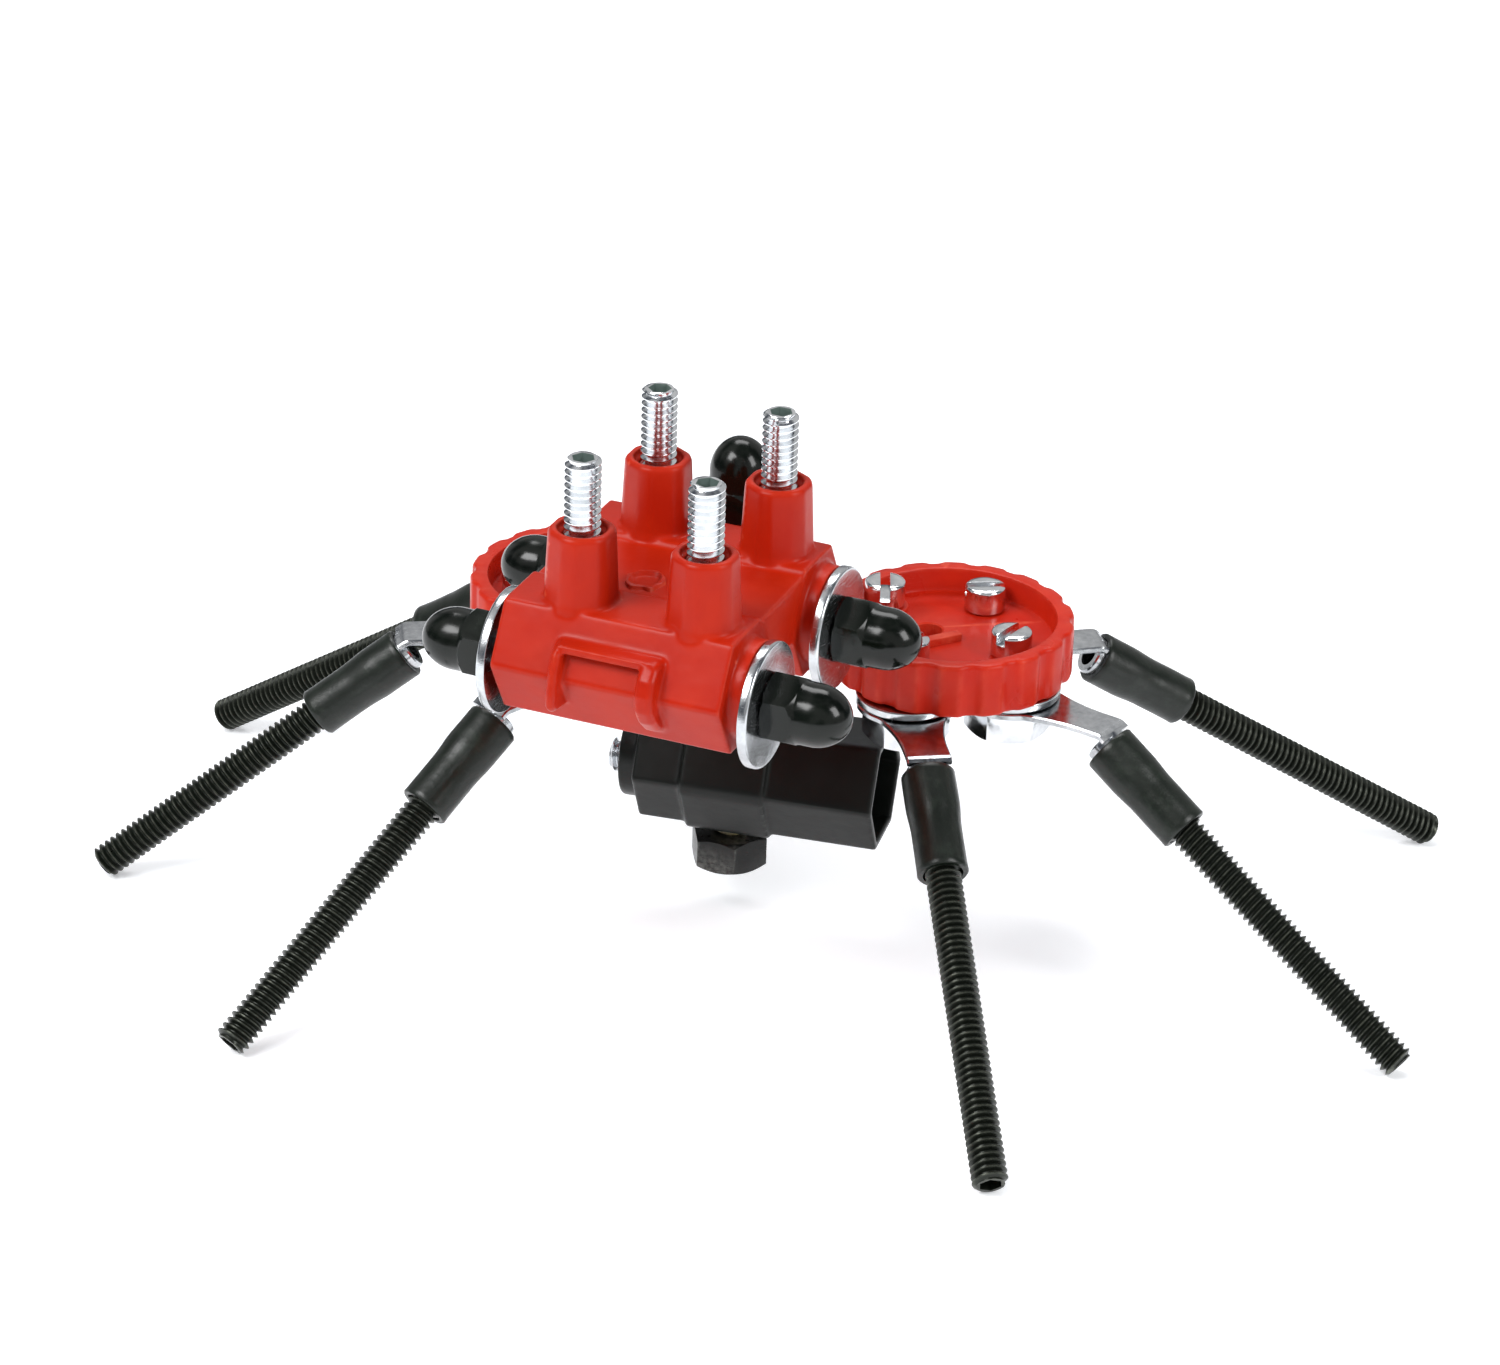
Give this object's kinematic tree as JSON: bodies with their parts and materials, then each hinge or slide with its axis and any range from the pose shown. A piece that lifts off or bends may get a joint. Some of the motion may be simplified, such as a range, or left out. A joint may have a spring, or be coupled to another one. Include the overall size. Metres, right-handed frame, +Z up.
{
  "type": "spider figure",
  "caption": "Spider figure built from a clamp block, scalloped knob discs, ring lugs and threaded studs, with swivelling legs and a hexagonal connector underneath.",
  "frame": {"origin": "middle of the footprint, on the ground under the feet", "axes": "+X along the two axle rods of the red block, towards their right ends; +Y towards the back, away from the red block; +Z up"},
  "size_m": [0.2498, 0.1716, 0.1112],
  "materials": {
    "red_plastic": "satin moulded nylon",
    "black_plastic": "satin moulded nylon",
    "black_rubber": "soft vinyl sleeve",
    "black_oxide": "black oxide steel",
    "zinc": "bright zinc plating"
  },
  "bodies": {
    "frame": {"bridge_plate": "zinc", "centre_bolt": "black_oxide", "centre_cap_nut": "black_plastic", "left_anchor_screw": "zinc", "right_anchor_screw": "zinc"},
    "block": {"body_block": "red_plastic"},
    "connector": {"connector_tube": "black_plastic"},
    "stub": {"stub_screw": "zinc"},
    "front_axle": {"front_axle_rod": "zinc", "front_washer_left": "zinc", "front_washer_right": "zinc", "front_cap_nut_left": "black_plastic", "front_cap_nut_right": "black_plastic"},
    "rear_axle": {"rear_axle_rod": "zinc", "rear_washer_left": "zinc", "rear_washer_right": "zinc", "rear_cap_nut_left": "black_plastic", "rear_cap_nut_right": "black_plastic"},
    "grub_front_left": {"grub_screw_front_left": "zinc"},
    "grub_front_right": {"grub_screw_front_right": "zinc"},
    "grub_rear_left": {"grub_screw_rear_left": "zinc"},
    "grub_rear_right": {"grub_screw_rear_right": "zinc"},
    "left_wheel": {"left_disc": "red_plastic", "front_left_screw": "zinc", "front_left_washer": "zinc", "front_left_nut": "zinc", "middle_left_screw": "zinc", "middle_left_washer": "zinc", "middle_left_nut": "zinc", "rear_left_screw": "zinc", "rear_left_washer": "zinc", "rear_left_nut": "zinc"},
    "right_wheel": {"right_disc": "red_plastic", "front_right_screw": "zinc", "front_right_washer": "zinc", "front_right_nut": "zinc", "middle_right_screw": "zinc", "middle_right_washer": "zinc", "middle_right_nut": "zinc", "rear_right_screw": "zinc", "rear_right_washer": "zinc", "rear_right_nut": "zinc"},
    "front_left_leg": {"front_left_lug": "zinc", "front_left_sleeve": "black_rubber", "front_left_stud": "black_oxide"},
    "middle_left_leg": {"middle_left_lug": "zinc", "middle_left_sleeve": "black_rubber", "middle_left_stud": "black_oxide"},
    "rear_left_leg": {"rear_left_lug": "zinc", "rear_left_sleeve": "black_rubber", "rear_left_stud": "black_oxide"},
    "front_right_leg": {"front_right_lug": "zinc", "front_right_sleeve": "black_rubber", "front_right_stud": "black_oxide"},
    "middle_right_leg": {"middle_right_lug": "zinc", "middle_right_sleeve": "black_rubber", "middle_right_stud": "black_oxide"},
    "rear_right_leg": {"rear_right_lug": "zinc", "rear_right_sleeve": "black_rubber", "rear_right_stud": "black_oxide"}
  },
  "joints": [
    {"name": "block_swivel", "type": "hinge", "parent": "frame", "child": "block", "pos_m": [-0.00801, 0.00539, 0.07], "axis": [0, 0, 1], "range_deg": [-8, 8]},
    {"name": "connector_swivel", "type": "hinge", "parent": "frame", "child": "connector", "pos_m": [-0.00801, 0.00539, 0.028], "axis": [0, 0, 1], "range_deg": [-60, 60]},
    {"name": "left_disc_swivel", "type": "hinge", "parent": "frame", "child": "left_wheel", "pos_m": [-0.02287, 0.00853, 0.05], "axis": [0, 0, 1], "range_deg": [-15, 5]},
    {"name": "right_disc_swivel", "type": "hinge", "parent": "frame", "child": "right_wheel", "pos_m": [0.01459, 0.0208, 0.05], "axis": [0, 0, 1], "range_deg": [-12, 12]},
    {"name": "front_left_leg_swivel", "type": "hinge", "parent": "left_wheel", "child": "front_left_leg", "pos_m": [-0.03227, -0.00776, 0.048], "axis": [0, 0, 1], "range_deg": [-12, 12]},
    {"name": "middle_left_leg_swivel", "type": "hinge", "parent": "left_wheel", "child": "middle_left_leg", "pos_m": [-0.04856, 0.00165, 0.048], "axis": [0, 0, 1], "range_deg": [-12, 12]},
    {"name": "rear_left_leg_swivel", "type": "hinge", "parent": "left_wheel", "child": "rear_left_leg", "pos_m": [-0.03916, 0.01794, 0.048], "axis": [0, 0, 1], "range_deg": [-12, 12]},
    {"name": "front_right_leg_swivel", "type": "hinge", "parent": "right_wheel", "child": "front_right_leg", "pos_m": [0.02538, 0.00539, 0.048], "axis": [0, 0, 1], "range_deg": [-12, 12]},
    {"name": "middle_right_leg_swivel", "type": "hinge", "parent": "right_wheel", "child": "middle_right_leg", "pos_m": [0.04079, 0.01618, 0.048], "axis": [0, 0, 1], "range_deg": [-12, 12]},
    {"name": "rear_right_leg_swivel", "type": "hinge", "parent": "right_wheel", "child": "rear_right_leg", "pos_m": [0.03, 0.03159, 0.048], "axis": [0, 0, 1], "range_deg": [-12, 12]},
    {"name": "front_axle_spin", "type": "hinge", "parent": "block", "child": "front_axle", "pos_m": [-0.00241, -0.05071, 0.07239], "axis": [1, 0, 0], "continuous": true},
    {"name": "rear_axle_spin", "type": "hinge", "parent": "block", "child": "rear_axle", "pos_m": [-0.00241, -0.01851, 0.07239], "axis": [1, 0, 0], "continuous": true},
    {"name": "grub_lift_front_left", "type": "slide", "parent": "block", "child": "grub_front_left", "axis": [0, 0, 1], "range_m": [0, 0.008]},
    {"name": "grub_lift_front_right", "type": "slide", "parent": "block", "child": "grub_front_right", "axis": [0, 0, 1], "range_m": [0, 0.008]},
    {"name": "grub_lift_rear_left", "type": "slide", "parent": "block", "child": "grub_rear_left", "axis": [0, 0, 1], "range_m": [0, 0.008]},
    {"name": "grub_lift_rear_right", "type": "slide", "parent": "block", "child": "grub_rear_right", "axis": [0, 0, 1], "range_m": [0, 0.008]},
    {"name": "stub_draw", "type": "slide", "parent": "connector", "child": "stub", "axis": [-0.9914, -0.1305, 0], "range_m": [0, 0.005]}
  ]
}
